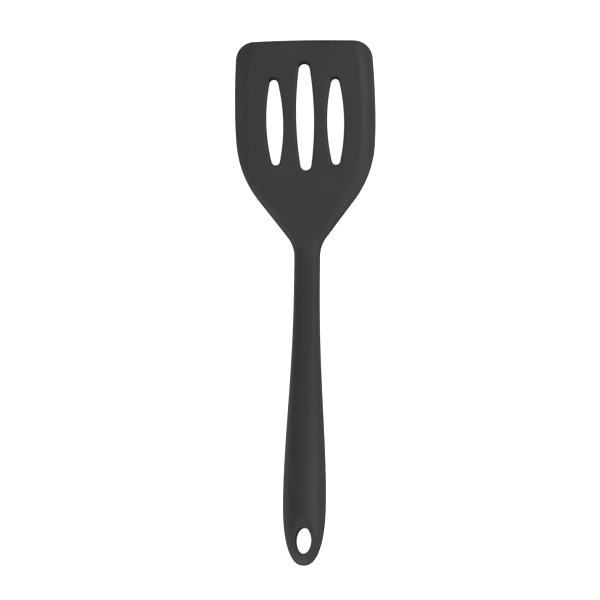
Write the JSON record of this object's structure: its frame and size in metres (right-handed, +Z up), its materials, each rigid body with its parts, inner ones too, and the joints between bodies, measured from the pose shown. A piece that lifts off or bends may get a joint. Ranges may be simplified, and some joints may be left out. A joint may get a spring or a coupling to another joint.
{
  "type": "slotted turner",
  "caption": "Slotted kitchen and grill turner with a dark silicone skin over a stiff core, cranked neck and an oval hanging hole.",
  "frame": {"origin": "middle of the underside of the whole object's box, on the surface that it lies on", "axes": "+Y from the handle's end to the blade's front edge, +X across the blade, +Z up, out of the blade's upper face"},
  "size_m": [0.087, 0.32, 0.0392],
  "materials": {
    "silicone": "fine matt moulded silicone, charcoal black",
    "spring_steel": "rolled stainless spring steel",
    "tang_steel": "blanked and bent stainless strip",
    "rivet_steel": "turned stainless, heads set",
    "nylon": "glass-filled nylon, dull grey"
  },
  "bodies": {
    "root": {"silicone_overmould": "silicone", "blade_plate": "spring_steel", "tang_bar": "tang_steel", "blade_rivets": "rivet_steel", "handle_core_upper": "nylon", "handle_core_lower": "nylon"}
  },
  "joints": []
}
